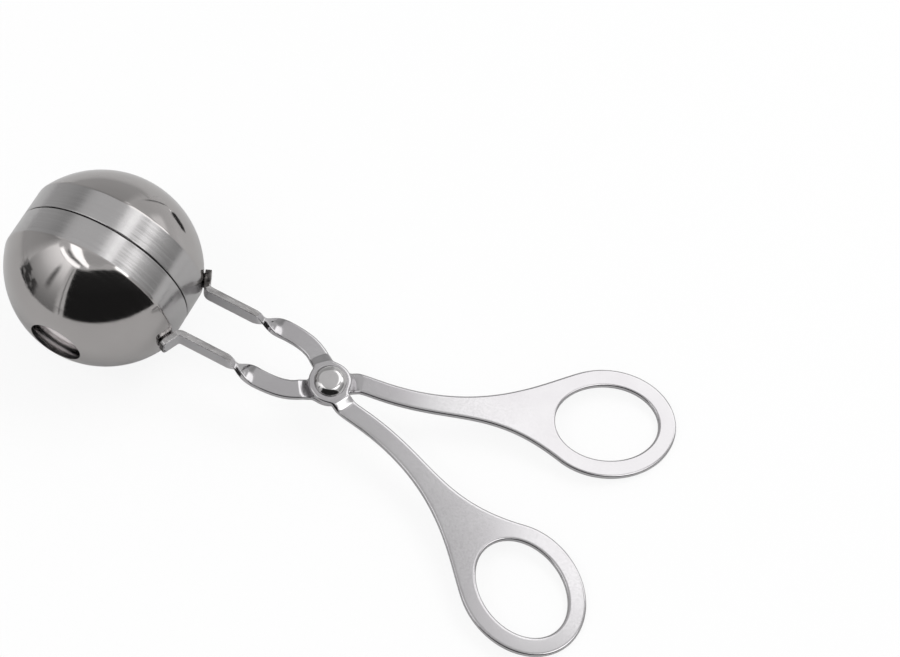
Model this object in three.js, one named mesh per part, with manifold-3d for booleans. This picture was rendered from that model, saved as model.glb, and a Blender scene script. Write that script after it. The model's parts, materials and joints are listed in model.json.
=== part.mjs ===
// Meatball scoop: two bowls on crossed levers that close into a ball, turning on one rivet.
// Millimetres, +Z up. The scoop lies closed on a table, its ball towards -X, its finger rings towards +X.
import * as THREE from 'three';
import { mergeVertices } from 'three/addons/utils/BufferGeometryUtils.js';
import Module from 'manifold-3d';

// Bowls: a straight band at the rim, then a round cap with a hole at its pole
const ballRadius = 22.5;
const bandWidth = 7.2;
const capHeight = 15.8;
const bowlWall = 0.7;
const poleHoleRadius = 6.5;
const rimGap = 0.3;

// Strip: both levers are the same flat bar, pressed to shape
const stripWidth = 4.7;
const stripThickness = 1.6;

// Arm: on edge beside the ball, with a tab bent out over the cap, then twisted flat before the rivet
const armLength = 12.574;
const armSpread = 6.6;
const shoulderSpread = 7.1;
const tabLength = 5.2;
const tabAngle = THREE.MathUtils.degToRad(24);
const tabBendRadius = 1.6;
const weldRadius = 1.5;
const weldHeight = 0.15;
const weldGap = 0.05;
const twistLength = 8.5;
const shoulderReach = 15.5;
const shoulderEase = 0.53;

// Crossing: the levers stack at the rivet and are set back into one plane on both sides of it
const bossRadius = 5.1;
const bossFlare = 0.3;
const flareLength = 4;
const setLength = 1.9;
const crossAngle = THREE.MathUtils.degToRad(41);
const armCrossEase = 0.43;
const neckCrossEase = 0.37;
const leverGap = 0.3;

// Rivet: a domed head above, a flatter formed end below
const shankRadius = 2;
const shankClearance = 0.1;
const headRadius = 3.85;
const headHeight = 1.5;
const headEdge = 0.3;
const tailHeight = 1;

// Handle: the shank opens from its neck into an oval finger ring
const neckGap = 3.3;
const neckFlat = 1.7;
const neckAngle = THREE.MathUtils.degToRad(6.5);
const neckLap = 1;
const lapInset = 0.02;
const ringX = 61.715;
const ringsAcross = 75.6;
const ringTilt = THREE.MathUtils.degToRad(28.5);
const fingerLength = 24.8;
const fingerWidth = 19.05;
const ringBand = 4.25;
const ringInnerJoin = THREE.MathUtils.degToRad(-136);
const ringOuterJoin = THREE.MathUtils.degToRad(110);
const innerNeckEase = 0.45;
const innerRingEase = 0.445;
const outerNeckEase = 0.53;
const outerRingEase = 0.21;

// Fineness of round surfaces
const bowlSegments = 64;
const rivetSegments = 36;
const domeSteps = 5;
const stripLanes = 4;
const bendSteps = 6;
const twistSteps = 14;
const crossSteps = 14;
const edgeSteps = 20;
const ringSteps = 44;
const capSteps = 10;

// Points of a seam, and corners of a cut body, that lie closer than these are one
const seamDistance = 0.0001;
const cornerDistance = 0.005;

const wasm = await Module();
wasm.setup();

function toSolid(geometry) {
  const bare = geometry.clone();
  bare.deleteAttribute('normal');
  bare.deleteAttribute('uv');
  const merged = mergeVertices(bare, seamDistance);
  return new wasm.Manifold(new wasm.Mesh({
    numProp: 3,
    vertProperties: new Float32Array(merged.attributes.position.array),
    triVerts: new Uint32Array(merged.index.array),
  }));
}

function toGeometry(solid) {
  const { vertProperties, triVerts } = solid.getMesh();
  const corners = [];
  const kept = [];
  for (let i = 0; i < vertProperties.length; i += 3) {
    const corner = new THREE.Vector3().fromArray(vertProperties, i);
    const near = corners.findIndex((other) => other.distanceTo(corner) < cornerDistance);
    kept.push(near < 0 ? corners.push(corner) - 1 : near);
  }
  const faces = [];
  for (let i = 0; i < triVerts.length; i += 3) {
    const face = [kept[triVerts[i]], kept[triVerts[i + 1]], kept[triVerts[i + 2]]];
    if (new Set(face).size === 3) faces.push(...face);
  }
  const geometry = new THREE.BufferGeometry().setFromPoints(corners);
  geometry.setIndex(faces);
  geometry.computeVertexNormals();
  return geometry;
}

// A disc with its axis along Z and its lower face at height z
function disc(radius, height, z) {
  const geometry = new THREE.CylinderGeometry(radius, radius, height, rivetSegments);
  return geometry.rotateX(Math.PI / 2).translate(0, 0, z + height / 2);
}

// The cap's sphere passes through the band's edge, and its centre is measured from where the rims meet
const capRadius = (ballRadius ** 2 + capHeight ** 2) / (2 * capHeight);
const capCentre = rimGap / 2 + bandWidth + capHeight - capRadius;

// One bowl turned about Y, its rim beside the meeting plane and its pole towards +Y
function bowlGeometry() {
  const capPoint = (radius, angle) => new THREE.Vector2(
    radius * Math.sin(angle), capCentre + radius * Math.cos(angle));
  const edgeAngle = (edge, radius) => {
    const angle = Math.asin(edge / radius);
    return capHeight > capRadius ? Math.PI - angle : angle;
  };
  const innerCap = capRadius - bowlWall;
  const innerBall = ballRadius - bowlWall;
  const profile = [new THREE.Vector2(innerBall, rimGap / 2), new THREE.Vector2(ballRadius, rimGap / 2)];
  for (let i = 0; i <= capSteps; i++) {
    const pole = Math.asin(poleHoleRadius / capRadius);
    const edge = edgeAngle(ballRadius, capRadius);
    profile.push(capPoint(capRadius, THREE.MathUtils.lerp(edge, pole, i / capSteps)));
  }
  for (let i = 0; i <= capSteps; i++) {
    const pole = Math.asin(poleHoleRadius / innerCap);
    const edge = edgeAngle(innerBall, innerCap);
    profile.push(capPoint(innerCap, THREE.MathUtils.lerp(pole, edge, i / capSteps)));
  }
  profile.push(profile[0].clone());
  return new THREE.LatheGeometry(profile, bowlSegments).translate(-ballDistance, 0, 0);
}

// The tab lies along the cap, clear of it by the height of the weld, and its bend ends the straight arm
const tabNormal = new THREE.Vector2(Math.cos(tabAngle), Math.sin(tabAngle));
const tabDirection = new THREE.Vector2(-tabNormal.y, tabNormal.x);
const tabReach = capRadius + weldHeight + stripThickness / 2;
const tabBack = (tabReach * tabNormal.y + capCentre - armSpread) / tabDirection.y;
const cornerToBall = tabReach * tabNormal.x - tabBack * tabDirection.x;
const twistReach = shoulderReach + twistLength;
const cornerReach = twistReach + armLength;
const ballDistance = cornerReach + cornerToBall;
const weldSeat = new THREE.Vector2(-ballDistance, capCentre).addScaledVector(tabNormal, capRadius);

// Neck where the strip meets the handle's plate, past the end of the offset
const neckX = bossRadius + leverGap + setLength + neckFlat;
const neckY = (neckGap + stripWidth) / 2;

// A cubic curve that leaves and reaches its ends along two directions, eased by shares of its chord
function easedCurve(start, startDirection, startEase, end, endDirection, endEase) {
  const chord = start.distanceTo(end);
  return new THREE.CubicBezierCurve(
    start, start.clone().addScaledVector(startDirection, startEase * chord),
    end.clone().addScaledVector(endDirection, -endEase * chord), end);
}

// Plan of one lever from its tab to its neck, with the arm on the +Y side and the handle on the -Y side
function leverPath() {
  const corner = new THREE.Vector2(-cornerReach, armSpread);
  const tabEnd = corner.clone().addScaledVector(tabDirection, tabLength);
  const bendReach = tabBendRadius * Math.tan((Math.PI / 2 - tabAngle) / 2);
  const bendFrom = corner.clone().addScaledVector(tabDirection, bendReach);
  const bendTo = new THREE.Vector2(-cornerReach + bendReach, armSpread);
  const twistFrom = new THREE.Vector2(-twistReach, armSpread);
  const shoulder = new THREE.Vector2(-shoulderReach, shoulderSpread);
  const straight = new THREE.Vector2(1, 0);
  const pivot = new THREE.Vector2(0, 0);
  const cross = new THREE.Vector2(Math.cos(crossAngle), -Math.sin(crossAngle));
  const neck = new THREE.Vector2(neckX, -neckY);
  const neckAlong = new THREE.Vector2(Math.cos(neckAngle), -Math.sin(neckAngle));
  return [
    { curve: new THREE.LineCurve(tabEnd, bendFrom), steps: 1 },
    { curve: new THREE.QuadraticBezierCurve(bendFrom, corner, bendTo), steps: bendSteps },
    { curve: new THREE.LineCurve(bendTo, twistFrom), steps: 1 },
    { curve: new THREE.LineCurve(twistFrom, shoulder), steps: twistSteps },
    { curve: easedCurve(shoulder, straight, shoulderEase, pivot, cross, armCrossEase), steps: crossSteps },
    { curve: easedCurve(pivot, cross, neckCrossEase, neck, neckAlong, neckCrossEase), steps: crossSteps },
  ];
}

// Height of a lever's middle surface: raised at the boss, ramped down to the common plane round it
const bossRise = (stripThickness + leverGap) / 2;

function riseAt(x, y) {
  const past = Math.hypot(x, y) - bossRadius - leverGap;
  return bossRise * (1 - THREE.MathUtils.clamp(past / setLength, 0, 1));
}

// The strip's section: lanes across its lower face, then back across its upper face
const section = [];
for (const through of [-1, 1]) {
  for (let lane = 0; lane <= stripLanes; lane++) {
    section.push({ across: through * (1 - 2 * lane / stripLanes), through });
  }
}

// The section carried along the path, turned with the twist and lifted at the boss, as one closed body
function stripGeometry() {
  const points = [];
  leverPath().forEach(({ curve, steps }, index) => {
    for (let i = index === 0 ? 0 : 1; i <= steps; i++) {
      const middle = curve.getPoint(i / steps);
      const along = curve.getTangent(i / steps);
      const turn = THREE.MathUtils.smoothstep(-middle.x, shoulderReach, twistReach) * Math.PI / 2;
      const past = middle.length() - bossRadius;
      const flare = bossFlare * (1 - THREE.MathUtils.smoothstep(past, 0, flareLength));
      const right = new THREE.Vector3(along.y, -along.x, 0);
      const up = new THREE.Vector3(0, 0, 1);
      const across = right.clone().multiplyScalar(Math.cos(turn)).addScaledVector(up, Math.sin(turn));
      const through = up.clone().multiplyScalar(Math.cos(turn)).addScaledVector(right, -Math.sin(turn));
      for (const place of section) {
        const point = new THREE.Vector3(middle.x, middle.y, 0)
          .addScaledVector(across, place.across * (stripWidth + flare) / 2)
          .addScaledVector(through, place.through * stripThickness / 2);
        point.z += riseAt(point.x, point.y);
        points.push(...point.toArray());
      }
    }
  });
  const size = section.length;
  const last = points.length / 3 - size;
  const faces = [];
  for (let lane = 0; lane < stripLanes; lane++) {
    const [a, b, c, d] = [lane, lane + 1, size - 2 - lane, size - 1 - lane];
    faces.push(a, b, c, a, c, d);
    faces.push(last + a, last + c, last + b, last + a, last + d, last + c);
  }
  for (let ring = 0; ring < last; ring += size) {
    for (let side = 0; side < size; side++) {
      const next = (side + 1) % size;
      const [a, b, c, d] = [ring + side, ring + next, ring + size + next, ring + size + side];
      faces.push(a, d, c, a, c, b);
    }
  }
  const geometry = new THREE.BufferGeometry();
  geometry.setAttribute('position', new THREE.Float32BufferAttribute(points, 3));
  geometry.setIndex(faces);
  return geometry;
}

// The tilted ring's outer oval, placed so that both rings together have their stated width
const ringReach = fingerLength / 2 + ringBand;
const ringBreadth = fingerWidth / 2 + ringBand;
const ringHalfWidth = Math.hypot(ringReach * Math.sin(ringTilt), ringBreadth * Math.cos(ringTilt));
const ringY = ringsAcross / 2 - ringHalfWidth;

// Flat plate from the neck to the finger ring, drawn with the handle towards +Y and then mirrored
function handleGeometry() {
  const oval = (reach, breadth, from, to) => new THREE.EllipseCurve(
    ringX, ringY, reach, breadth, from, to, false, ringTilt);
  const ring = oval(ringReach, ringBreadth, ringInnerJoin, ringOuterJoin);
  const finger = oval(fingerLength / 2, fingerWidth / 2, 0, 2 * Math.PI);
  const along = new THREE.Vector2(Math.cos(neckAngle), Math.sin(neckAngle));
  const outward = new THREE.Vector2(-along.y, along.x);
  const lapStart = new THREE.Vector2(neckX, neckY).addScaledVector(along, -neckLap);
  const edge = (side, neckEase, ringEase, end, tangent) => {
    const start = lapStart.clone().addScaledVector(outward, side * (stripWidth / 2 - lapInset));
    return easedCurve(start, along, neckEase, end, tangent, ringEase).getPoints(edgeSteps);
  };
  const inner = edge(-1, innerNeckEase, innerRingEase, ring.getPoint(0), ring.getTangent(0));
  const outer = edge(1, outerNeckEase, outerRingEase, ring.getPoint(1), ring.getTangent(1).negate());
  const outline = [...inner, ...ring.getPoints(ringSteps).slice(1, -1), ...outer.reverse()];
  const mirror = (points) => points.map((p) => new THREE.Vector2(p.x, -p.y)).reverse();
  const plan = new THREE.Shape(mirror(outline));
  plan.holes.push(new THREE.Path(mirror(finger.getPoints(ringSteps).slice(1))));
  const plate = new THREE.ExtrudeGeometry(plan, { depth: stripThickness, bevelEnabled: false });
  return plate.translate(0, 0, -stripThickness / 2);
}

// The pad under a tab that is welded to the cap
function weldPadGeometry() {
  const foot = weldSeat.clone().addScaledVector(tabNormal, weldGap);
  const height = weldHeight - weldGap + stripThickness / 2;
  const pad = new THREE.CylinderGeometry(weldRadius, weldRadius, height, rivetSegments);
  return pad.translate(0, height / 2, 0).rotateZ(tabAngle - Math.PI / 2).translate(foot.x, foot.y, 0);
}

// One lever: strip, weld pad, boss and handle joined, with the rivet's hole through the boss
function leverGeometry() {
  const bossFoot = bossRise - stripThickness / 2;
  const hole = disc(shankRadius + shankClearance, 2 * stripThickness, bossRise - stripThickness);
  const solid = toSolid(stripGeometry())
    .add(toSolid(weldPadGeometry()))
    .add(toSolid(disc(bossRadius, stripThickness, bossFoot)))
    .add(toSolid(handleGeometry()))
    .subtract(toSolid(hole));
  return toGeometry(solid);
}

// The rivet stands through both bosses, turned about the pivot
function rivetGeometry() {
  const top = bossRise + stripThickness / 2 + shankClearance;
  const dome = (height, sign) => {
    const radius = (headRadius ** 2 + (height - headEdge) ** 2) / (2 * (height - headEdge));
    const points = [new THREE.Vector2(headRadius, sign * top)];
    for (let i = 0; i <= domeSteps; i++) {
      const r = headRadius * Math.cos(i / domeSteps * Math.PI / 2);
      const rise = Math.sqrt(radius ** 2 - r ** 2) - radius + height;
      points.push(new THREE.Vector2(i === domeSteps ? 0 : r, sign * (top + rise)));
    }
    return points;
  };
  const profile = [
    ...dome(tailHeight, -1).reverse(),
    new THREE.Vector2(shankRadius, -top),
    new THREE.Vector2(shankRadius, top),
    ...dome(headHeight, 1),
  ];
  return new THREE.LatheGeometry(profile, rivetSegments).rotateX(Math.PI / 2);
}

const levers = new THREE.MeshStandardMaterial({ color: 0xc9c7c5, roughness: 0.28, metalness: 1 });
const bowls = new THREE.MeshStandardMaterial({ color: 0xb4b1b0, roughness: 0.16, metalness: 1 });
const rivets = new THREE.MeshStandardMaterial({ color: 0xc4c3c4, roughness: 0.22, metalness: 1 });

// The lower half is the upper half turned over about the long axis
const tool = new THREE.Group();
for (const [name, turn] of [['upper', 0], ['lower', Math.PI]]) {
  const half = new THREE.Group();
  half.rotation.x = turn;
  const lever = new THREE.Mesh(leverGeometry(), levers);
  lever.name = `${name}_lever`;
  const bowl = new THREE.Mesh(bowlGeometry(), bowls);
  bowl.name = `${name}_bowl`;
  half.add(lever, bowl);
  tool.add(half);
}
const rivet = new THREE.Mesh(rivetGeometry(), rivets);
rivet.name = 'pivot_rivet';
tool.add(rivet);

// Laid down: the ball and the far ends of both rings touch the table, under the middle of the scoop
const ringEnd = ringX + Math.hypot(ringReach * Math.cos(ringTilt), ringBreadth * Math.sin(ringTilt));
const span = ballDistance + ringEnd;
const halfStrip = stripThickness / 2;
tool.rotation.y = Math.asin(ballRadius / Math.hypot(span, halfStrip)) - Math.atan2(halfStrip, span);
const box = new THREE.Box3().setFromObject(tool, true);
const middle = box.getCenter(new THREE.Vector3());
tool.position.set(-middle.x, -middle.y, -box.min.z);

const scoop = new THREE.Group();
scoop.add(tool);

export default scoop;
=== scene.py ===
import json
import math

import bmesh
import bpy
from mathutils import Matrix, Vector


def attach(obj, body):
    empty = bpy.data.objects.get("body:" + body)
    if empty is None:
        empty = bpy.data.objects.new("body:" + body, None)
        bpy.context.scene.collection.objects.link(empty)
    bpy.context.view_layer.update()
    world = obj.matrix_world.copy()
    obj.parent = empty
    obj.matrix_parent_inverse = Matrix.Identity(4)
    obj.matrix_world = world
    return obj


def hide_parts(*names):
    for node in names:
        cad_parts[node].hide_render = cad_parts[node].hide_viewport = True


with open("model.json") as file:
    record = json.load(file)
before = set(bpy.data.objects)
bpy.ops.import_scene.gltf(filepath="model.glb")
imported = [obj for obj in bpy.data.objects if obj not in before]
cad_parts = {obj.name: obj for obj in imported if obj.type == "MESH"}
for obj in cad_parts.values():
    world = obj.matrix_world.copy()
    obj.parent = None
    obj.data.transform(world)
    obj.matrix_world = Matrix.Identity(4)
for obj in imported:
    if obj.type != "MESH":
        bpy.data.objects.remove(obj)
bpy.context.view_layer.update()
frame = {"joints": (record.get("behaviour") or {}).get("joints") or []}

# Meatball scoop: modelled flat, in millimetres round its pivot, then laid down on the table in metres
MM = 0.001
pivot = frame["joints"][0]
plane_up = -Vector(pivot["axis"])
lean = math.atan2(plane_up.x, plane_up.z)
laid_down = Matrix.Translation(pivot["pos_m"]) @ Matrix.Rotation(lean, 4, "Y") @ Matrix.Scale(MM, 4)

# Bowls
ball_radius = 22.5
band_width = 7.2
cap_height = 15.8
bowl_wall = 0.7
pole_hole_radius = 6.5
rim_gap = 0.3
rim_round = 0.24
hole_round = 0.1
rim_segments = 3
crease_round = 0.32
crease_segments = 4
bowl_segments = 144
bowl_rings = 92

# Strip that both levers are formed from
strip_width = 4.7
strip_thickness = 1.6
strip_lanes = 4
edge_round = 0.78
edge_fullness = 0.66
edge_segments = 8

# Arm, tab and weld
arm_length = 12.574
arm_spread = 6.6
arm_edge_round = 0.35
shoulder_spread = 7.1
shoulder_reach = 15.5
shoulder_ease = 0.53
shoulder_steps = 52
round_before_shoulder = 4
round_past_shoulder = 3
twist_length = 8.5
twist_steps = 24
tab_length = 5.2
tab_angle = math.radians(24)
tab_bend_radius = 1.6
tab_bend_steps = 10
tab_end_round = 0.2
tab_corner_round = 1.1
tab_corner_segments = 6
weld_radius = 1.5
weld_height = 0.15
weld_sink = 0.12
weld_flare = 1.25
weld_segments = 32

# Crossing at the rivet
boss_radius = 5.1
boss_flare = 0.3
flare_length = 4
boss_fillet = 6
set_length = 1.9
lever_gap = 0.3
cross_angle = math.radians(41)
arm_cross_ease = 0.43
neck_cross_ease = 0.37
neck_steps = 30
shank_radius = 2
shank_clearance = 0.1
bore_segments = 48
head_radius = 3.85
head_height = 1.5
head_edge = 0.3
head_edge_round = 0.12
head_edge_segments = 3
head_flat = 0.46
head_fall = 2.4
head_middle = 0.005
head_steps = 24
tail_height = 1
rivet_segments = 72

# Handle and finger ring
neck_gap = 3.3
neck_flat = 1.7
neck_angle = math.radians(6.5)
neck_lap = 1
ring_x = 61.715
rings_across = 75.6
ring_tilt = math.radians(28.5)
finger_length = 24.8
finger_width = 19.05
ring_band = 4.25
ring_inner_join = math.radians(-136)
ring_outer_join = math.radians(110)
inner_neck_ease = 0.45
inner_ring_ease = 0.445
outer_neck_ease = 0.53
outer_ring_ease = 0.21
shank_ribs = 32
first_rib = 2
last_rib = 20
ring_points = 96

# Places that follow from the sizes
cap_radius = (ball_radius ** 2 + cap_height ** 2) / (2 * cap_height)
band_edge = rim_gap / 2 + band_width
cap_centre = band_edge + cap_height - cap_radius
tab_normal = Vector((math.cos(tab_angle), math.sin(tab_angle)))
tab_along = Vector((-tab_normal.y, tab_normal.x))
tab_reach = cap_radius + weld_height + strip_thickness / 2
tab_back = (tab_reach * tab_normal.y + cap_centre - arm_spread) / tab_along.y
twist_reach = shoulder_reach + twist_length
corner_reach = twist_reach + arm_length
ball_distance = corner_reach + tab_reach * tab_normal.x - tab_back * tab_along.x
neck_x = boss_radius + lever_gap + set_length + neck_flat
neck_y = (neck_gap + strip_width) / 2
boss_rise = (strip_thickness + lever_gap) / 2
half_strip = strip_thickness / 2
ring_reach = finger_length / 2 + ring_band
ring_breadth = finger_width / 2 + ring_band
ring_y = rings_across / 2 - math.hypot(
    ring_reach * math.sin(ring_tilt), ring_breadth * math.cos(ring_tilt))
straight = Vector((1, 0))
arm_corner = Vector((-corner_reach, arm_spread))
tab_end = arm_corner + tab_along * tab_length
twist_start = Vector((-twist_reach, arm_spread))
shoulder = Vector((-shoulder_reach, shoulder_spread))
crossing = Vector((0, 0))
neck = Vector((neck_x, -neck_y))
neck_along = Vector((math.cos(neck_angle), -math.sin(neck_angle)))
weld_seat = Vector((-ball_distance, cap_centre)) + tab_normal * cap_radius
ball_centre = laid_down @ Vector((-ball_distance, 0, 0))

# How closely corners are matched, and where a slope counts as an edge
on_plane = 0.01
doubled = 0.05
outline_doubled = 0.002
flat_angle = math.radians(1)
strip_edge_angle = math.radians(50)
rim_angle = math.radians(60)
lever_crease = math.radians(35)
bowl_crease = math.radians(40)
rivet_crease = math.radians(40)
head_margin = 0.1

# Where the finishes and the painted shade begin and end: margins in millimetres, slopes as parts of a
# normal
sheared_margin = 1.5
edge_slope = 0.6
tab_slope = 0.75
weld_margin = 0.02
band_margin = 0.2
inner_depth = 0.9 * bowl_wall
hole_slope = 0.8


# Hand moves shared by the pieces

def begin():
    """Leaves edit mode with nothing selected."""
    if bpy.context.object and bpy.context.object.mode == "EDIT":
        bpy.ops.object.mode_set(mode="OBJECT")
    bpy.ops.object.select_all(action="DESELECT")


def take(piece):
    """Selects one piece alone."""
    begin()
    piece.select_set(True)
    bpy.context.view_layer.objects.active = piece


def shape(piece):
    """Opens a piece in edit mode with all of it selected."""
    take(piece)
    bpy.ops.object.mode_set(mode="EDIT")
    bpy.ops.mesh.select_all(action="SELECT")


def settle():
    """Gives the active object's place, turn and size to its mesh."""
    bpy.ops.object.transform_apply(location=True, rotation=True, scale=True)


def pick(piece, kind, test):
    """In edit mode, selects the edges or faces whose corners all pass the test."""
    bpy.ops.mesh.select_mode(type=kind)
    bpy.ops.mesh.select_all(action="DESELECT")
    mesh = bmesh.from_edit_mesh(piece.data)
    for item in {"EDGE": mesh.edges, "FACE": mesh.faces}[kind]:
        if all(test(v.co) for v in item.verts):
            item.select_set(True)
    mesh.select_flush_mode()
    bmesh.update_edit_mesh(piece.data)


def pick_sharp(angle):
    """In edit mode, selects the edges where faces meet more sharply than the angle."""
    bpy.ops.mesh.select_mode(type="EDGE")
    bpy.ops.mesh.select_all(action="DESELECT")
    bpy.ops.mesh.edges_select_sharp(sharpness=angle)


def finish_modifier(piece, kind, **settings):
    take(piece)
    modifier = piece.modifiers.new(kind.lower(), kind)
    for key, value in settings.items():
        setattr(modifier, key, value)
    bpy.ops.object.modifier_apply(modifier=modifier.name)


def join(piece, other):
    take(piece)
    other.select_set(True)
    bpy.ops.object.join()


def close_up(piece):
    """Joins doubled corners and turns every face outwards."""
    shape(piece)
    bpy.ops.mesh.remove_doubles(threshold=doubled)
    bpy.ops.mesh.select_all(action="SELECT")
    bpy.ops.mesh.normals_make_consistent(inside=False)
    bpy.ops.object.mode_set(mode="OBJECT")


def round_sharp_edges(piece, offset, segments, angle, test):
    shape(piece)
    pick_sharp(angle)
    mesh = bmesh.from_edit_mesh(piece.data)
    for edge in mesh.edges:
        if edge.select and not all(test(v.co) for v in edge.verts):
            edge.select_set(False)
    bmesh.update_edit_mesh(piece.data)
    bpy.ops.mesh.bevel(offset=offset, segments=segments, affect="EDGES", clamp_overlap=False)
    bpy.ops.object.mode_set(mode="OBJECT")


def smooth(piece, angle):
    take(piece)
    bpy.ops.object.shade_smooth_by_angle(angle=angle)
    finish_modifier(piece, "WEIGHTED_NORMAL", keep_sharp=True)


def paint(piece, finish, test):
    """Gives one of a piece's materials, a finish or painted shade, to the faces whose middle and normal
    pass the test.
    """
    shape(piece)
    bpy.ops.mesh.select_mode(type="FACE")
    bpy.ops.mesh.select_all(action="DESELECT")
    mesh = bmesh.from_edit_mesh(piece.data)
    for face in mesh.faces:
        face.select_set(test(face.calc_center_median(), face.normal))
    bmesh.update_edit_mesh(piece.data)
    piece.active_material_index = piece.data.materials.find(finish.name)
    bpy.ops.object.material_slot_assign()
    bpy.ops.object.mode_set(mode="OBJECT")


def name_piece(piece, name):
    piece.name = piece.data.name = name
    return piece


def another(piece, name):
    take(piece)
    bpy.ops.object.duplicate()
    return name_piece(bpy.context.object, name)


def lay_down(piece, turned=False):
    """Turns the lower half over about the long axis, then puts the piece in its place on the table."""
    take(piece)
    over = Matrix.Rotation(math.pi, 4, "X") if turned else Matrix.Identity(4)
    piece.matrix_world = laid_down @ over @ piece.matrix_world
    settle()


# Materials

class Steel:
    """A bare metal in one finish, with detail from noise on the object's own coordinates."""

    noise_low = 0.3
    noise_high = 0.7
    quarter_turn = 0.25

    def __init__(self, name, colour, roughness):
        self.material = bpy.data.materials.new(name)
        self.material.use_nodes = True
        self.nodes, self.links = self.material.node_tree.nodes, self.material.node_tree.links
        self.shader = self.nodes["Principled BSDF"]
        self.shader.inputs["Base Color"].default_value = (*colour, 1)
        self.shader.inputs["Metallic"].default_value = 1
        self.shader.inputs["Roughness"].default_value = roughness

    def grain(self, stretch, detail):
        """Noise with so many features per metre along each axis."""
        place = self.nodes.new("ShaderNodeTexCoord")
        mapping = self.nodes.new("ShaderNodeMapping")
        mapping.inputs["Scale"].default_value = stretch
        noise = self.nodes.new("ShaderNodeTexNoise")
        noise.inputs["Scale"].default_value = 1
        noise.inputs["Detail"].default_value = detail
        self.links.new(place.outputs["Object"], mapping.inputs["Vector"])
        self.links.new(mapping.outputs["Vector"], noise.inputs["Vector"])
        return noise.outputs["Fac"]

    def tint(self, grain, dark, light):
        """Colour that drifts between two shades of the metal."""
        ramp = self.nodes.new("ShaderNodeValToRGB")
        first, last = ramp.color_ramp.elements
        first.position, first.color = self.noise_low, (*dark, 1)
        last.position, last.color = self.noise_high, (*light, 1)
        self.links.new(grain, ramp.inputs["Fac"])
        self.links.new(ramp.outputs["Color"], self.shader.inputs["Base Color"])

    def vary_roughness(self, grain, low, high):
        span = self.nodes.new("ShaderNodeMapRange")
        span.inputs["From Min"].default_value = self.noise_low
        span.inputs["From Max"].default_value = self.noise_high
        span.inputs["To Min"].default_value = low
        span.inputs["To Max"].default_value = high
        self.links.new(grain, span.inputs["Value"])
        self.links.new(span.outputs["Result"], self.shader.inputs["Roughness"])

    def roughen(self, grain, depth):
        """Fine relief of a given depth in metres."""
        bump = self.nodes.new("ShaderNodeBump")
        bump.inputs["Strength"].default_value = 1
        bump.inputs["Distance"].default_value = depth
        self.links.new(grain, bump.inputs["Height"])
        self.links.new(bump.outputs["Normal"], self.shader.inputs["Normal"])

    def brush_round(self, strength):
        """Brushing that runs round the bowl's axis."""
        self.shader.inputs["Anisotropic"].default_value = strength
        self.shader.inputs["Anisotropic Rotation"].default_value = self.quarter_turn
        around = self.nodes.new("ShaderNodeTangent")
        around.direction_type = "RADIAL"
        around.axis = "Y"
        self.links.new(around.outputs["Tangent"], self.shader.inputs["Tangent"])


def polished_cap():
    steel = Steel("polished_cap_steel", (0.47, 0.451, 0.444), roughness=0.07)
    blotch = steel.grain((55, 90, 55), detail=3)
    turned = steel.grain((70, 1500, 70), detail=2)
    wave = steel.grain((130, 260, 130), detail=2)
    steel.tint(blotch, dark=(0.45, 0.431, 0.424), light=(0.49, 0.471, 0.464))
    steel.vary_roughness(turned, low=0.05, high=0.11)
    steel.roughen(wave, depth=2.5e-5)
    return steel.material


def brushed_band():
    steel = Steel("brushed_band_steel", (0.5, 0.49, 0.49), roughness=0.21)
    steel.brush_round(0.75)
    lines = steel.grain((60, 2600, 60), detail=4)
    steel.tint(lines, dark=(0.48, 0.47, 0.47), light=(0.52, 0.51, 0.51))
    steel.vary_roughness(lines, low=0.16, high=0.27)
    steel.roughen(lines, depth=3e-6)
    return steel.material


def polished_inside():
    steel = Steel("polished_inner_steel", (0.6, 0.58, 0.58), roughness=0.12)
    drift = steel.grain((90, 200, 90), detail=3)
    turned = steel.grain((60, 900, 60), detail=2)
    steel.tint(drift, dark=(0.57, 0.55, 0.55), light=(0.63, 0.61, 0.61))
    steel.vary_roughness(turned, low=0.1, high=0.16)
    return steel.material


# Painted shade: the pole hole's cut wall is coloured near-black so that it draws a dark line round the
# hole, with a little random drift in tone.
def hole_wall_painted_shade():
    steel = Steel("hole_wall_painted_shade_steel", (0.04, 0.038, 0.038), roughness=0.4)
    tear = steel.grain((900, 300, 900), detail=3)
    steel.tint(tear, dark=(0.025, 0.024, 0.024), light=(0.07, 0.066, 0.066))
    return steel.material


def sheared_edge():
    steel = Steel("sheared_edge_steel", (0.44, 0.43, 0.43), roughness=0.24)
    drift = steel.grain((250, 900, 900), detail=3)
    tear = steel.grain((500, 1600, 1600), detail=2)
    steel.tint(drift, dark=(0.32, 0.31, 0.31), light=(0.55, 0.54, 0.54))
    steel.vary_roughness(tear, low=0.16, high=0.32)
    steel.roughen(tear, depth=7e-5)
    return steel.material


# Partly real heat scale on the weld, partly painted shade: the near-black also stands in for the shade
# and dark reflection in the gap where the tab meets the ball.
def weld_scale_and_painted_shade():
    steel = Steel("weld_scale_and_painted_shade_steel", (0.16, 0.15, 0.15), roughness=0.35)
    scale = steel.grain((900, 900, 900), detail=3)
    steel.tint(scale, dark=(0.02, 0.018, 0.018), light=(0.2, 0.19, 0.185))
    steel.vary_roughness(scale, low=0.45, high=0.2)
    steel.roughen(scale, depth=1.5e-4)
    return steel.material


def satin_lever():
    steel = Steel("satin_lever_steel", (0.5, 0.488, 0.5), roughness=0.14)
    drift = steel.grain((70, 70, 70), detail=3)
    speckle = steel.grain((2600, 2600, 2600), detail=3)
    steel.tint(drift, dark=(0.485, 0.472, 0.484), light=(0.52, 0.512, 0.52))
    steel.vary_roughness(speckle, low=0.11, high=0.18)
    steel.roughen(speckle, depth=1.2e-6)
    return steel.material


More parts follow.
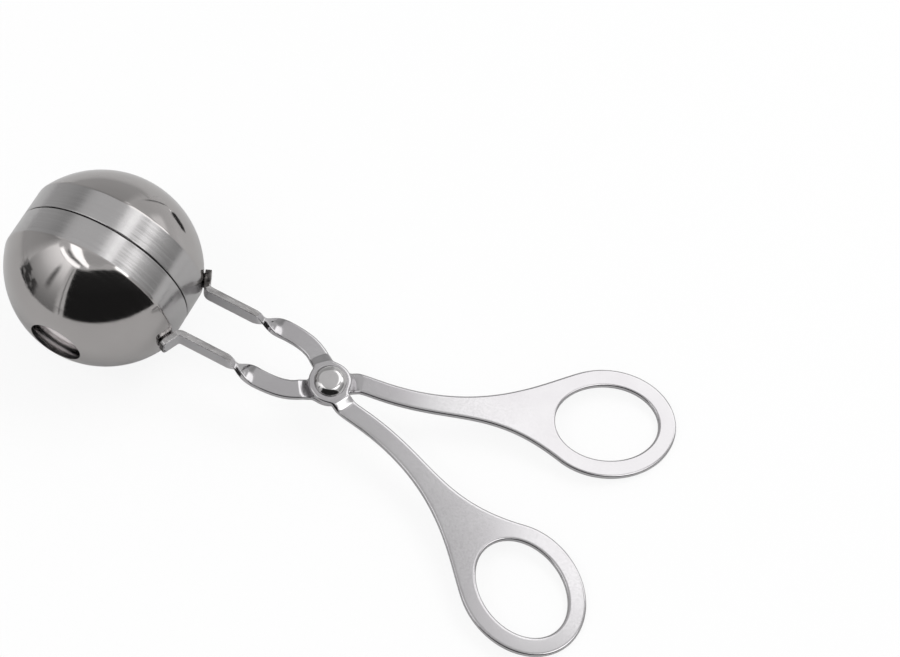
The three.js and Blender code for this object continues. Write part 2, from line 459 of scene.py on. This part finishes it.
def bright_rivet():
    steel = Steel("bright_rivet_steel", (0.6, 0.59, 0.59), roughness=0.1)
    drift = steel.grain((250, 250, 250), detail=2)
    scuff = steel.grain((1800, 1800, 1800), detail=3)
    steel.tint(drift, dark=(0.57, 0.56, 0.56), light=(0.63, 0.62, 0.62))
    steel.vary_roughness(scuff, low=0.08, high=0.16)
    steel.roughen(scuff, depth=2e-6)
    return steel.material


cap_steel = polished_cap()
band_steel = brushed_band()
inner_steel = polished_inside()
hole_shade_steel = hole_wall_painted_shade()
edge_steel = sheared_edge()
weld_and_shade_steel = weld_scale_and_painted_shade()
lever_steel = satin_lever()
rivet_steel = bright_rivet()


# Levers

def smoothstep(value, low, high):
    t = min(max((value - low) / (high - low), 0), 1)
    return t * t * (3 - 2 * t)


def eased_curve(start, start_way, start_ease, end, end_way, end_ease, steps):
    """Points of a cubic curve with the heading at each, eased by shares of its chord."""
    chord = (end - start).length
    first = start + start_way * start_ease * chord
    second = end - end_way * end_ease * chord
    points = []
    for i in range(steps + 1):
        t = i / steps
        s = 1 - t
        place = s ** 3 * start + 3 * s * s * t * first + 3 * s * t * t * second + t ** 3 * end
        way = s * s * (first - start) + 2 * s * t * (second - first) + t * t * (end - second)
        points.append((place, math.atan2(way.y, way.x)))
    return points


def strip_half_width(place):
    """Half the plan width of the strip: opened at the rivet into a round boss."""
    away = place.length
    flare = boss_flare * (1 - smoothstep(away - boss_radius, 0, flare_length))
    plain = (strip_width + flare) / 2
    round_boss = math.sqrt(max(boss_radius ** 2 - away ** 2, 0))
    return (plain ** boss_fillet + round_boss ** boss_fillet) ** (1 / boss_fillet)


def ring_place(angle):
    """A place on the finger ring's outer oval, and the way the oval runs there."""
    turn = Matrix.Rotation(ring_tilt, 2)
    place = turn @ Vector((ring_reach * math.cos(angle), ring_breadth * math.sin(angle)))
    way = turn @ Vector((-ring_reach * math.sin(angle), ring_breadth * math.cos(angle)))
    way.normalize()
    return Vector((ring_x + place.x, -ring_y - place.y)), Vector((way.x, -way.y))


def handle_edges():
    """The shank's two edges from the neck to the ring, with the handle towards -Y."""
    outward = Vector((-math.sin(neck_angle), -math.cos(neck_angle)))
    lap = neck - neck_along * neck_lap
    edges = []
    for side, neck_ease, ring_ease, ring_join in (
            (-1, inner_neck_ease, inner_ring_ease, ring_inner_join),
            (1, outer_neck_ease, outer_ring_ease, ring_outer_join)):
        start = lap + outward * side * strip_width / 2
        end, way = ring_place(ring_join)
        points = eased_curve(start, neck_along, neck_ease, end, -way * side, ring_ease, shank_ribs)
        edges.append([place for place, heading in points])
    return edges


def arm_stations():
    """The tab, its bend and the twist, as place, heading, roll and half width of the strip's section."""
    on_edge = math.pi / 2
    half = strip_width / 2
    bend_reach = tab_bend_radius * math.tan((math.pi / 2 - tab_angle) / 2)
    bend_from = arm_corner + tab_along * bend_reach
    bend_to = arm_corner + straight * bend_reach
    bend_ease = 2 / 3 * bend_reach / (bend_to - bend_from).length
    stations = [(tab_end, math.atan2(-tab_along.y, -tab_along.x), on_edge, half)]
    for place, heading in eased_curve(
            bend_from, -tab_along, bend_ease, bend_to, straight, bend_ease, tab_bend_steps):
        stations.append((place, heading, on_edge, half))
    for i in range(twist_steps + 1):
        place = twist_start.lerp(shoulder, i / twist_steps)
        roll = on_edge * smoothstep(-place.x, shoulder_reach, twist_reach)
        stations.append((place, 0, roll, half))
    return stations


def crossing_stations():
    """From the shoulder through the boss at the rivet to the neck, lying flat."""
    cross = Vector((math.cos(cross_angle), -math.sin(cross_angle)))
    before = eased_curve(
        shoulder, straight, shoulder_ease, crossing, cross, arm_cross_ease, shoulder_steps)
    after = eased_curve(
        crossing, cross, neck_cross_ease, neck, neck_along, neck_cross_ease, neck_steps)
    return [(place, heading, 0, strip_half_width(place)) for place, heading in before[1:] + after[1:]]


def shank_stations(inner, outer):
    """Ribs across the shank, from edge to edge."""
    stations = []
    for i in range(first_rib, last_rib + 1):
        rib = outer[i] - inner[i]
        stations.append(((inner[i] + outer[i]) / 2, math.atan2(rib.x, -rib.y), 0, rib.length / 2))
    return stations


def draw_strip(stations):
    """One section of flat bar, drawn out along the lever, turned, rolled and widened as it goes."""
    place, heading, roll, half = stations[0]
    begin()
    bpy.ops.mesh.primitive_grid_add(x_subdivisions=strip_lanes, y_subdivisions=1, size=1)
    strip = bpy.context.object
    right = Vector((math.sin(heading), -math.cos(heading), 0))
    up = Vector((0, 0, 1))
    across = right * math.cos(roll) + up * math.sin(roll)
    through = up * math.cos(roll) - right * math.sin(roll)
    upright = Matrix((across, through, across.cross(through))).transposed().to_4x4()
    section = Matrix.Diagonal((2 * half, strip_thickness, 1, 1))
    strip.matrix_world = Matrix.Translation(place.to_3d()) @ upright @ section
    settle()
    shape(strip)
    for before, station in zip(stations, stations[1:]):
        was, was_heading, was_roll, was_half = before
        place, heading, roll, half = station
        centre = place.to_3d()
        bpy.ops.mesh.extrude_region_move(TRANSFORM_OT_translate={"value": (place - was).to_3d()})
        if heading != was_heading:
            bpy.ops.transform.rotate(
                value=was_heading - heading, orient_axis="Z", center_override=centre)
        if roll != was_roll:
            bpy.ops.transform.rotate(value=roll - was_roll, orient_axis="X", center_override=centre)
        if half != was_half:
            right = Vector((math.sin(heading), -math.cos(heading), 0))
            ahead = Vector((math.cos(heading), math.sin(heading), 0))
            bpy.ops.transform.resize(
                value=(half / was_half, 1, 1), center_override=centre,
                orient_matrix=(right, ahead, up), orient_matrix_type="GLOBAL")
    bpy.ops.mesh.delete(type="FACE")
    bpy.ops.object.mode_set(mode="OBJECT")
    return strip


def trace_outline(start, outline):
    """A line of edges drawn corner by corner at the height of the strip's top."""
    begin()
    bpy.ops.mesh.primitive_plane_add(size=1, location=(*start, half_strip))
    trace = bpy.context.object
    settle()
    shape(trace)
    bpy.ops.mesh.merge(type="CENTER")
    here = start
    for place in outline:
        bpy.ops.mesh.extrude_vertices_move(TRANSFORM_OT_translate={"value": (place - here).to_3d()})
        here = place
    return trace


def cut_ring(inner, outer):
    """The web and finger ring: an outline filled round its hole and thickened, open at the last rib."""
    rib_start, rib_end = outer[last_rib], inner[last_rib]
    rib_way = (rib_end - rib_start).normalized()
    rib_side = Vector((-rib_way.y, rib_way.x))
    sweep = ring_outer_join - ring_inner_join
    oval = [ring_place(ring_outer_join - sweep * i / ring_points)[0] for i in range(1, ring_points)]
    outline = outer[last_rib + 1:] + oval + inner[:last_rib:-1] + [rib_end, rib_start]

    def on_rib(co):
        return abs((co.xy - rib_start).dot(rib_side)) < on_plane

    begin()
    bpy.ops.mesh.primitive_circle_add(
        vertices=ring_points, radius=1, location=(ring_x, -ring_y, half_strip),
        rotation=(0, 0, -ring_tilt))
    ring = bpy.context.object
    ring.scale = (finger_length / 2, finger_width / 2, 1)
    settle()
    join(ring, trace_outline(rib_start, outline))
    shape(ring)
    bpy.ops.mesh.remove_doubles(threshold=outline_doubled)
    bpy.ops.mesh.select_all(action="SELECT")
    bpy.ops.mesh.fill(use_beauty=True)
    bpy.ops.mesh.select_all(action="SELECT")
    bpy.ops.mesh.dissolve_limited(angle_limit=flat_angle)
    pick(ring, "EDGE", on_rib)
    bpy.ops.mesh.subdivide(number_cuts=strip_lanes - 1)
    bpy.ops.mesh.select_all(action="SELECT")
    bpy.ops.mesh.extrude_region_move(TRANSFORM_OT_translate={"value": (0, 0, -strip_thickness)})
    pick(ring, "FACE", on_rib)
    bpy.ops.mesh.delete(type="FACE")
    bpy.ops.object.mode_set(mode="OBJECT")
    return ring


def lies_at_tab_end(co):
    return abs((co.xy - tab_end).dot(tab_along)) < on_plane


def round_tab_corners(lever):
    shape(lever)
    pick(lever, "EDGE", lambda co: lies_at_tab_end(co) and abs(co.z) > strip_width / 2 - on_plane)
    bpy.ops.mesh.bevel(
        offset=tab_corner_round, segments=tab_corner_segments, affect="EDGES", clamp_overlap=False)
    bpy.ops.object.mode_set(mode="OBJECT")


def set_back(lever):
    """Lifts the boss off the common plane and ramps the strip back into it on both sides."""
    group = lever.vertex_groups.new(name="boss")
    for vertex in lever.data.vertices:
        past = vertex.co.xy.length - boss_radius - lever_gap
        weight = 1 - min(max(past / set_length, 0), 1)
        if weight > 0:
            group.add([vertex.index], weight, "REPLACE")
    finish_modifier(
        lever, "DISPLACE", strength=boss_rise, mid_level=0, direction="Z", vertex_group="boss")
    lever.vertex_groups.clear()


def roll_edges(lever):
    """Rounds the stamped edges: wide on the handle, narrow on the arm, least round the tab's end."""
    shape(lever)
    pick_sharp(strip_edge_angle)
    mesh = bmesh.from_edit_mesh(lever.data)
    weight = mesh.edges.layers.float.new("bevel_weight_edge")
    for edge in mesh.edges:
        if edge.select:
            middle = (edge.verts[0].co + edge.verts[1].co) / 2
            on_arm = smoothstep(
                -middle.x, shoulder_reach - round_before_shoulder, shoulder_reach + round_past_shoulder)
            width = edge_round + (arm_edge_round - edge_round) * on_arm
            if all(lies_at_tab_end(v.co) for v in edge.verts):
                width = tab_end_round
            edge[weight] = width / edge_round
    bmesh.update_edit_mesh(lever.data)
    finish_modifier(
        lever, "BEVEL", width=edge_round, segments=edge_segments, profile=edge_fullness,
        limit_method="WEIGHT", use_clamp_overlap=False)


def bore(lever):
    """Cuts the rivet's hole through the boss."""
    begin()
    bpy.ops.mesh.primitive_cylinder_add(
        vertices=bore_segments, radius=shank_radius + shank_clearance,
        depth=4 * boss_rise + strip_thickness)
    drill = bpy.context.object
    finish_modifier(lever, "BOOLEAN", operation="DIFFERENCE", solver="EXACT", object=drill)
    begin()
    drill.select_set(True)
    bpy.ops.object.delete()


def weld_nugget():
    """The flared nugget of weld between a tab and its cap."""
    depth = weld_height + weld_sink + half_strip / 2
    middle = weld_seat + tab_normal * (depth / 2 - weld_sink)
    foot = weld_seat - tab_normal * weld_sink
    begin()
    bpy.ops.mesh.primitive_cylinder_add(
        vertices=weld_segments, radius=weld_radius, depth=depth, location=middle.to_3d(),
        rotation=(math.pi / 2, 0, tab_angle + math.pi / 2))
    nugget = bpy.context.object
    settle()
    shape(nugget)
    pick(nugget, "FACE", lambda co: abs((co.xy - foot).dot(tab_normal)) < on_plane)
    bpy.ops.transform.resize(value=(weld_flare,) * 3, center_override=foot.to_3d())
    bpy.ops.object.mode_set(mode="OBJECT")
    return nugget


def lies_on_arm_edge(middle, normal):
    """True on the sheared edges of the straight arm, above and below, and under the tab."""
    if middle.x < -corner_reach:
        return normal.z < -edge_slope
    return middle.x < sheared_margin - twist_reach and abs(normal.z) > edge_slope


def lies_on_weld_and_shaded_tab(middle, normal):
    """True on the weld and on the tab's other edges, which get a near-black colour: heat scale on the
    weld, and painted shade on the tab's edges where the tab meets the ball.
    """
    off_face = abs(normal.dot(tab_normal.to_3d())) < tab_slope
    on_tab_edge = middle.x < -corner_reach and off_face and normal.z > -edge_slope
    return on_tab_edge or (middle.xy - weld_seat).dot(tab_normal) < weld_height - weld_margin


def form_lever():
    inner, outer = handle_edges()
    lever = draw_strip(arm_stations() + crossing_stations() + shank_stations(inner, outer))
    join(lever, cut_ring(inner, outer))
    close_up(lever)
    round_tab_corners(lever)
    set_back(lever)
    roll_edges(lever)
    bore(lever)
    join(lever, weld_nugget())
    smooth(lever, lever_crease)
    for finish in (lever_steel, edge_steel, weld_and_shade_steel):
        lever.data.materials.append(finish)
    paint(lever, edge_steel, lies_on_arm_edge)
    # The weld keeps its heat scale, and the tab's edges get painted shade in the same near-black.
    paint(lever, weld_and_shade_steel, lies_on_weld_and_shaded_tab)
    return lever


# Bowls

def lies_on_band(middle, normal):
    return middle.y < band_edge - band_margin


def lies_inside(middle, normal):
    """True on the inner wall of a bowl."""
    away = middle + Vector((ball_distance, 0, 0))
    if away.y < band_edge:
        return math.hypot(away.x, away.z) < ball_radius - inner_depth
    return (away - Vector((0, cap_centre, 0))).length < cap_radius - inner_depth


def lies_in_hole(middle, normal):
    """True on the cut wall of the pole hole."""
    out = Vector((middle.x + ball_distance, middle.z))
    facing_in = -(normal.x * out.x + normal.z * out.y) / out.length
    in_hole = middle.y > band_edge and out.length < pole_hole_radius + hole_round
    return in_hole and facing_in > hole_slope


def press_bowl():
    """A sphere trimmed to the cap, its edge drawn out into the band, then given its wall."""

    def on_crease(co):
        return abs(co.y - band_edge) < on_plane

    pole = cap_centre + math.sqrt(cap_radius ** 2 - pole_hole_radius ** 2)
    begin()
    bpy.ops.mesh.primitive_uv_sphere_add(
        segments=bowl_segments, ring_count=bowl_rings, radius=cap_radius,
        location=(-ball_distance, cap_centre, 0), rotation=(-math.pi / 2, 0, 0))
    bowl = bpy.context.object
    settle()
    shape(bowl)
    bpy.ops.mesh.bisect(plane_co=(0, band_edge, 0), plane_no=(0, 1, 0), clear_inner=True)
    bpy.ops.mesh.select_all(action="SELECT")
    bpy.ops.mesh.bisect(plane_co=(0, pole, 0), plane_no=(0, 1, 0), clear_outer=True)
    pick(bowl, "EDGE", on_crease)
    bpy.ops.mesh.extrude_edges_move(TRANSFORM_OT_translate={"value": (0, -band_width, 0)})
    bpy.ops.mesh.select_all(action="SELECT")
    bpy.ops.mesh.normals_make_consistent(inside=False)
    pick(bowl, "EDGE", on_crease)
    bpy.ops.mesh.bevel(offset=crease_round, segments=crease_segments, affect="EDGES")
    finish_modifier(bowl, "SOLIDIFY", thickness=bowl_wall, offset=-1, use_even_offset=True)
    round_sharp_edges(bowl, rim_round, rim_segments, rim_angle, lambda co: co.y < band_edge)
    round_sharp_edges(bowl, hole_round, rim_segments, rim_angle, lambda co: co.y > band_edge)
    smooth(bowl, bowl_crease)
    for finish in (cap_steel, band_steel, inner_steel, hole_shade_steel):
        bowl.data.materials.append(finish)
    paint(bowl, band_steel, lies_on_band)
    paint(bowl, inner_steel, lies_inside)
    # The hole's cut wall gets the near-black painted shade.
    paint(bowl, hole_shade_steel, lies_in_hole)
    return bowl


# Rivet

def dome(height):
    """Radius and height of rings up a button head: flat on top, falling away to its edge."""
    rings = []
    for i in range(head_steps + 1):
        share = max(math.cos(i / head_steps * math.pi / 2), head_middle)
        fall = max(share - head_flat, 0) / (1 - head_flat)
        rise = head_edge + (height - head_edge) * (1 - fall ** head_fall)
        rings.append((head_radius * share, rise))
    return rings


def set_rivet():
    """A round section drawn up from the formed end through the shank to the domed head."""
    seat = boss_rise + half_strip + shank_clearance
    profile = [(radius, -seat - rise) for radius, rise in reversed(dome(tail_height))]
    profile += [(head_radius, -seat), (shank_radius, -seat), (shank_radius, seat), (head_radius, seat)]
    profile += [(radius, seat + rise) for radius, rise in dome(head_height)]
    was, low = profile[0]
    begin()
    bpy.ops.mesh.primitive_circle_add(
        vertices=rivet_segments, radius=was, fill_type="NGON", location=(0, 0, low))
    rivet = bpy.context.object
    settle()
    shape(rivet)
    for radius, z in profile[1:]:
        bpy.ops.mesh.extrude_region_move(TRANSFORM_OT_translate={"value": (0, 0, z - low)})
        bpy.ops.transform.resize(value=(radius / was, radius / was, 1), center_override=(0, 0, z))
        was, low = radius, z
    close_up(rivet)
    round_sharp_edges(
        rivet, head_edge_round, head_edge_segments, strip_edge_angle,
        lambda co: co.xy.length > head_radius - head_margin)
    smooth(rivet, rivet_crease)
    rivet.data.materials.append(rivet_steel)
    return rivet


upper_lever = name_piece(form_lever(), "upper_lever_formed")
lower_lever = another(upper_lever, "lower_lever_formed")
upper_bowl = name_piece(press_bowl(), "upper_bowl_pressed")
lower_bowl = another(upper_bowl, "lower_bowl_pressed")
rivet = name_piece(set_rivet(), "pivot_rivet_set")
lay_down(upper_lever)
lay_down(lower_lever, turned=True)
lay_down(upper_bowl)
lay_down(lower_bowl, turned=True)
lay_down(rivet)

for piece, node, body, slot in (
        (upper_lever, "upper_lever", "upper_half", "lever_steel"),
        (lower_lever, "lower_lever", "lower_half", "lever_steel"),
        (upper_bowl, "upper_bowl", "upper_half", "bowl_steel"),
        (lower_bowl, "lower_bowl", "lower_half", "bowl_steel"),
        (rivet, "pivot_rivet", "lower_half", "rivet_steel")):
    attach(piece, body)
    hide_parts(node)


# Stage, in metres and degrees: a white table, a white room, soft lamps and what the steel mirrors

table_size = 6
table_clear = 0.88
table_seen_shade = 0.95
table_mirrored_shade = 0.7
board_roughness = 0.9
board_gloss = 0.1
room_level = 0.6
room_mirrored = 0.25
panel_rows = 8
sheet_middle = 0.5
torn_low = 0.38
torn_high = 0.46


def math_node(nodes, links, operation, first, second):
    """A node that works on two values, each an output of another node or a number."""
    node = nodes.new("ShaderNodeMath")
    node.operation = operation
    for socket, value in zip(node.inputs, (first, second)):
        if isinstance(value, (int, float)):
            socket.default_value = value
        else:
            links.new(value, socket)
    return node.outputs[0]


def mix_shaders(nodes, links, factor, first, second):
    mix = nodes.new("ShaderNodeMixShader")
    if isinstance(factor, (int, float)):
        mix.inputs[0].default_value = factor
    else:
        links.new(factor, mix.inputs[0])
    links.new(first, mix.inputs[1])
    links.new(second, mix.inputs[2])
    return mix.outputs[0]


def board(nodes, shade):
    matt = nodes.new("ShaderNodeBsdfPrincipled")
    matt.inputs["Base Color"].default_value = (shade, shade, shade, 1)
    matt.inputs["Roughness"].default_value = board_roughness
    matt.inputs["Specular IOR Level"].default_value = board_gloss
    return matt.outputs[0]


def lay_table():
    """The camera looks mostly through it into the white room and sees a soft shadow on it, so that
    a bowl that swings below it stays in sight."""
    begin()
    bpy.ops.mesh.primitive_plane_add(size=table_size)
    table = bpy.context.object
    table.name = "table"
    material = bpy.data.materials.new("white_table")
    material.use_nodes = True
    nodes, links = material.node_tree.nodes, material.node_tree.links
    nodes.remove(nodes["Principled BSDF"])
    path = nodes.new("ShaderNodeLightPath")
    clear = nodes.new("ShaderNodeBsdfTransparent")
    seen = mix_shaders(nodes, links, table_clear, board(nodes, table_seen_shade), clear.outputs[0])
    surface = mix_shaders(
        nodes, links, path.outputs["Is Camera Ray"], board(nodes, table_mirrored_shade), seen)
    links.new(surface, nodes["Material Output"].inputs["Surface"])
    table.data.materials.append(material)


def surround():
    """A room that is white to the camera, dimmer in reflections and a little dimmer still as light."""
    world = bpy.data.worlds.new("white_room")
    bpy.context.scene.world = world
    world.use_nodes = True
    nodes, links = world.node_tree.nodes, world.node_tree.links
    room = nodes["Background"]
    room.inputs["Color"].default_value = (1, 1, 1, 1)
    room.inputs["Strength"].default_value = room_level
    white = nodes.new("ShaderNodeBackground")
    white.inputs["Color"].default_value = (1, 1, 1, 1)
    path = nodes.new("ShaderNodeLightPath")
    bounced = math_node(
        nodes, links, "MAXIMUM", path.outputs["Is Glossy Ray"], path.outputs["Is Transmission Ray"])
    dimmed = math_node(nodes, links, "MULTIPLY", bounced, room_mirrored)
    whiteness = math_node(nodes, links, "ADD", path.outputs["Is Camera Ray"], dimmed)
    surface = mix_shaders(nodes, links, whiteness, room.outputs[0], white.outputs[0])
    links.new(surface, nodes["World Output"].inputs["Surface"])


def toward(azimuth, elevation, distance):
    a, e = math.radians(azimuth), math.radians(elevation)
    way = Vector((math.cos(e) * math.cos(a), math.cos(e) * math.sin(a), math.sin(e)))
    return ball_centre + way * distance


def lamp(name, azimuth, elevation, distance, width, height, radiance):
    """A soft lamp that lights the table; what the steel mirrors of it is a panel of its own."""
    place = toward(azimuth, elevation, distance)
    begin()
    bpy.ops.object.light_add(type="AREA", location=place)
    soft = bpy.context.object
    soft.name = soft.data.name = name
    soft.data.shape = "RECTANGLE"
    soft.data.size = width
    soft.data.size_y = height
    soft.data.energy = radiance * math.pi * width * height
    soft.rotation_euler = (place - ball_centre).to_track_quat("Z", "Y").to_euler()
    soft.visible_glossy = False


def bend_sheet(name, columns, radius, foot):
    """A sheet bent round the ball, from its foot's distance below to its radius above."""
    begin()
    bpy.ops.mesh.primitive_grid_add(
        x_subdivisions=len(columns) - 1, y_subdivisions=panel_rows, size=1)
    sheet = bpy.context.object
    sheet.name = sheet.data.name = name
    for i, vertex in enumerate(sheet.data.vertices):
        azimuth, low, high = columns[i % len(columns)]
        up = i // len(columns) / panel_rows
        vertex.co = toward(azimuth, low + (high - low) * up, foot + (radius - foot) * up)
    return sheet


def fade_in(nodes, links, along, share):
    """Rises from 0 at both ends of a sheet to 1 a share of the way in."""
    rise = nodes.new("ShaderNodeMapRange")
    rise.interpolation_type = "SMOOTHSTEP"
    rise.inputs["From Max"].default_value = share
    links.new(math_node(nodes, links, "PINGPONG", along, sheet_middle), rise.inputs["Value"])
    return rise.outputs["Result"]


def level_ramp(nodes, links, levels, up):
    """Light that changes evenly from one level to the next up a sheet."""
    ramp = nodes.new("ShaderNodeValToRGB")
    stops = ramp.color_ramp.elements
    while len(stops) < len(levels):
        stops.new(sheet_middle)
    for i, level in enumerate(levels):
        shade = level / max(levels)
        stops[i].position = i / (len(levels) - 1)
        stops[i].color = (shade, shade, shade, 1)
    links.new(up, ramp.inputs["Fac"])
    glow = nodes.new("ShaderNodeEmission")
    glow.inputs["Strength"].default_value = max(levels)
    links.new(ramp.outputs["Color"], glow.inputs["Color"])
    return glow.outputs[0]


def torn_cover(nodes, links, place, scale):
    """Noise cut into patches."""
    torn = nodes.new("ShaderNodeTexNoise")
    torn.inputs["Scale"].default_value = scale
    links.new(place, torn.inputs["Vector"])
    patches = nodes.new("ShaderNodeMapRange")
    patches.inputs["From Min"].default_value = torn_low
    patches.inputs["From Max"].default_value = torn_high
    links.new(torn.outputs["Fac"], patches.inputs["Value"])
    return patches.outputs["Result"]


def panel(name, levels, columns, radius=0.7, foot=None, soft=(0.06, 0.06), ragged=0):
    """A sheet for the steel to mirror, seen by nothing else. Each column is an azimuth with the
    elevations of the low and the high edge. The levels run from low to high, the edges fade out
    over the soft shares, and a ragged sheet is torn into patches."""
    sheet = bend_sheet(name, columns, radius, radius if foot is None else foot)
    material = bpy.data.materials.new(name)
    material.use_nodes = True
    nodes, links = material.node_tree.nodes, material.node_tree.links
    place = nodes.new("ShaderNodeTexCoord").outputs["UV"]
    part = nodes.new("ShaderNodeSeparateXYZ")
    links.new(place, part.inputs[0])
    glow = level_ramp(nodes, links, levels, part.outputs["Y"])
    sides = fade_in(nodes, links, part.outputs["X"], soft[0])
    ends = fade_in(nodes, links, part.outputs["Y"], soft[1])
    cover = math_node(nodes, links, "MULTIPLY", sides, ends)
    if ragged:
        patches = torn_cover(nodes, links, place, ragged)
        cover = math_node(nodes, links, "MULTIPLY", cover, patches)
    clear = nodes.new("ShaderNodeBsdfTransparent")
    surface = mix_shaders(nodes, links, cover, clear.outputs[0], glow)
    links.new(surface, nodes["Material Output"].inputs["Surface"])
    sheet.data.materials.append(material)
    sheet.visible_camera = False
    sheet.visible_diffuse = False
    sheet.visible_shadow = False


lay_table()
surround()
lamp("key_lamp", azimuth=50, elevation=56, distance=1, width=0.6, height=0.4, radiance=4.5)
lamp("fill_lamp", azimuth=-120, elevation=58, distance=1, width=0.6, height=0.3, radiance=3)

# Ceiling and walls
panel("ceiling", [0.58, 0.58, 0.66],
      [(-108, 55, 78), (-60, 55, 80), (-8, 55, 78)],
      radius=1.0, soft=(0.06, 0.2))
panel("left_wall", [0.5, 0.5, 0.46, 0.38, 0.34],
      [(88, -9, 58), (100, -9, 59), (112, -8, 56), (125, -8, 50), (140, -9, 48), (155, -9, 48),
       (175, -8.5, 50), (192, -4, 57), (208, -2, 52)],
      radius=0.9, foot=0.14, soft=(0.1, 0.16))
panel("far_wall", [0.72, 0.66, 0.62, 0.65],
      [(24, -8, 24), (45, -9, 26), (60, -10, 28), (75, -10, 30), (92, -10, 30)],
      radius=0.95, foot=0.125, soft=(0.06, 0.2))
panel("right_wall", [0.26, 0.36, 0.5, 0.6],
      [(-11, -3, 33), (10, -3, 34), (32, -3, 34)],
      radius=0.9, foot=0.3, soft=(0.08, 0.1))
panel("pale_wall", [0.22, 0.36, 0.6, 1.05, 1.45],
      [(-156, -6, 49), (-140, -6.5, 49), (-128, -6.5, 49.5), (-106, -6.5, 51)],
      foot=0.17, soft=(0.08, 0.03))
panel("wall_edge", [0.2, 0.16, 0.24],
      [(-128, 8, 44), (-123, 8, 46), (-117, 8, 44)],
      radius=0.55, foot=0.26, soft=(0.5, 0.3))

# Windows and lamps
panel("far_window", [1.0, 1.05],
      [(54, 3, 20), (65, 3, 23), (77, 3, 20)],
      radius=0.6, foot=0.3, soft=(0.35, 0.3))
panel("far_spot", [1.9, 1.9],
      [(89, 26, 30), (97, 26, 30)],
      soft=(0.4, 0.4))
panel("far_glint", [1.3, 1.3],
      [(75.6, -6.8, -4), (78.2, -6.6, -3.8)],
      radius=0.088, soft=(0.3, 0.3))
panel("softbox", [2.05, 2.0, 1.95, 1.9, 1.85, 1.8, 1.75, 2.22],
      [(32, 40, 50), (36, 20, 58), (38, 10, 61), (42, 5, 66.5), (50, 6, 64.6), (53, 14, 64),
       (56, 29, 64), (64, 30, 64.6), (70, 32, 63.6), (74, 34, 61.2), (80, 35, 58), (85, 36, 54)],
      soft=(0.06, 0.03))
panel("softbox_veil", [0.6, 0.6],
      [(32, 42, 57), (38, 42, 57.5), (44, 42, 57)],
      radius=0.66, soft=(0.15, 0.15))
panel("window_low", [2.3, 2.3],
      [(-148, 48, 53), (-135, 49, 53.5), (-120, 49.5, 54), (-104, 50.5, 54.5), (-95, 52, 54.5)],
      radius=0.9)
panel("window_high", [2.4, 2.2],
      [(-152, 61, 67), (-140, 59.5, 70), (-125, 59, 71), (-110, 58.5, 68), (-95, 57, 64),
       (-86, 55.5, 60.5), (-79, 54, 57.5)],
      radius=0.9)
panel("window_bar", [0.12, 0.12],
      [(-140, 55, 58), (-120, 55, 58), (-104, 54.8, 57.5), (-90, 53.5, 55.5)],
      radius=0.85, soft=(0.1, 0.4))
panel("side_lamp", [2.1, 2.1],
      [(-30, 50, 56), (-27, 47, 57), (-23, 46, 53)],
      soft=(0.1, 0.1))
panel("right_lamp", [2.6, 2.6],
      [(-22, 36, 56), (0, 36, 58), (22, 36, 56)],
      soft=(0.12, 0.12))

# The dark side of the room and dark things near the ball
panel("far_post", [0.16, 0.16, 0.3],
      [(80, -8.5, -1.5), (81.2, -6, 2.5), (82.2, -2, 7), (83.3, 3, 12), (84.8, 9, 19), (86.2, 14, 26)],
      radius=0.09, soft=(0.25, 0.25))
panel("dark_prop", [0.03, 0.03],
      [(62, -14.6, -9), (65, -14.6, -6.5), (68, -14.4, -4), (71, -13, -2.5), (74, -11, -3),
       (77, -9.5, -5)],
      radius=0.085, soft=(0.15, 0.2))
panel("curtain_edge", [0.2, 0.2],
      [(-104.5, -5.5, 49), (-102.5, -5.5, 50)],
      radius=0.55, foot=0.168, soft=(0.4, 0.05))
panel("dark_corner", [0.04, 0.08],
      [(-158, -6, 11), (-144, -6.5, 13), (-128, -6.5, 8)],
      radius=0.2, foot=0.167, soft=(0.2, 0.12), ragged=4)
panel("dark_side", [0.02, 0.02, 0.03],
      [(-100, -6, 52), (-90, -6, 53), (-80, -6, 54), (-70, -6, 55.5), (-60, -6, 56), (-50, -6, 55),
       (-40, -6, 53), (-31, -6, 49), (-24, -6, 42), (-19, -6, 32), (-15, -6, 18), (-12, -6, 4)],
      radius=0.6, foot=0.168, soft=(0.012, 0.045))


# Camera at the photograph's angle, in millimetres round the pivot

camera_azimuth = math.radians(12.171)
camera_elevation = math.radians(63.970)
camera_roll = math.radians(15.975)
camera_distance = 532.665
camera_aim = Vector((18.19, 26.997, 0))
camera_lens = 89.245
camera_sensor = 36
camera_nearest = 0.01


def stand_camera():
    back = Vector((
        math.sin(camera_azimuth) * math.cos(camera_elevation),
        -math.cos(camera_azimuth) * math.cos(camera_elevation),
        math.sin(camera_elevation)))
    level = Vector((math.cos(camera_azimuth), math.sin(camera_azimuth), 0))
    upright = back.cross(level)
    right = math.cos(camera_roll) * level + math.sin(camera_roll) * upright
    up = math.cos(camera_roll) * upright - math.sin(camera_roll) * level
    turn = Matrix.Rotation(lean, 4, "Y") @ Matrix((right, up, back)).transposed().to_4x4()
    begin()
    bpy.ops.object.camera_add()
    camera = bpy.context.object
    camera.matrix_world = Matrix.Translation(laid_down @ (camera_aim + back * camera_distance)) @ turn
    camera.data.sensor_width = camera_sensor
    camera.data.lens = camera_lens
    camera.data.clip_start = camera_nearest
    bpy.context.scene.camera = camera


stand_camera()
bpy.context.scene.view_settings.view_transform = "Standard"
